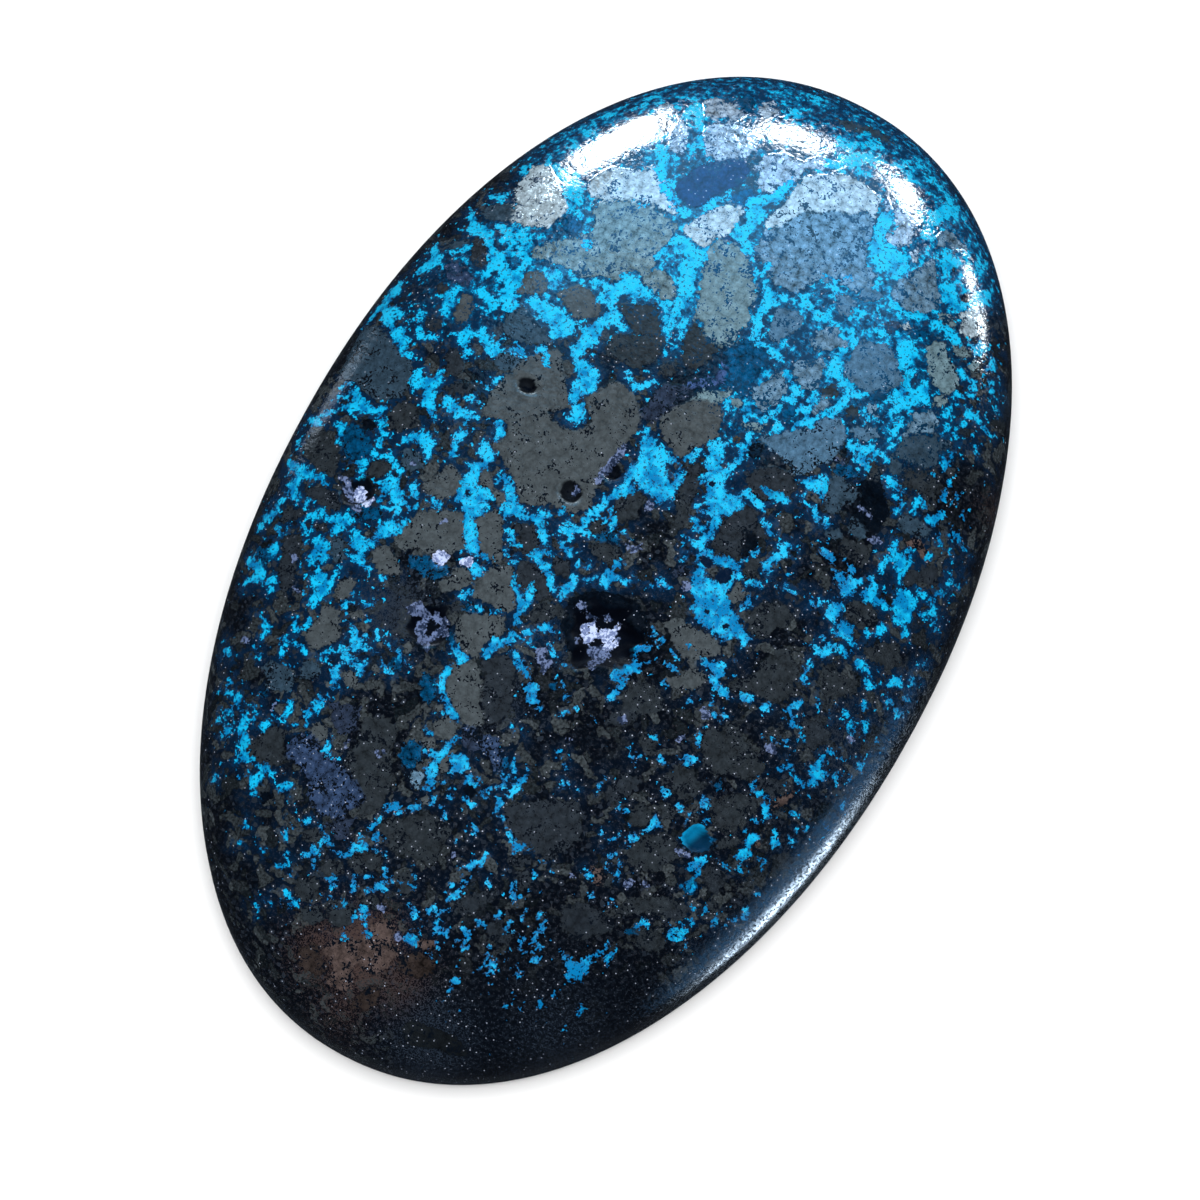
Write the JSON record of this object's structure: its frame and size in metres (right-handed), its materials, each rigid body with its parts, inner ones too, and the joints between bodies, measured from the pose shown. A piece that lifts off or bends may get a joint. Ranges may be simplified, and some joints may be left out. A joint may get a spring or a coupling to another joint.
{
  "type": "turquoise cabochon",
  "caption": "Polished long oval stone with a flat back, a low domed face and small open pockets, dark breccia matrix veined with turquoise.",
  "frame": {"origin": "on the flat back, under the middle of the stone's box", "axes": "+Z out of the domed face, +Y along the stone's length towards its blunter end, +X across its width"},
  "size_m": [0.025, 0.04, 0.006],
  "materials": {
    "stone": "polished, near-black matrix with dull olive clasts and bright blue turquoise between them"
  },
  "bodies": {
    "root": {"turquoise_cabochon": "stone"}
  },
  "joints": []
}
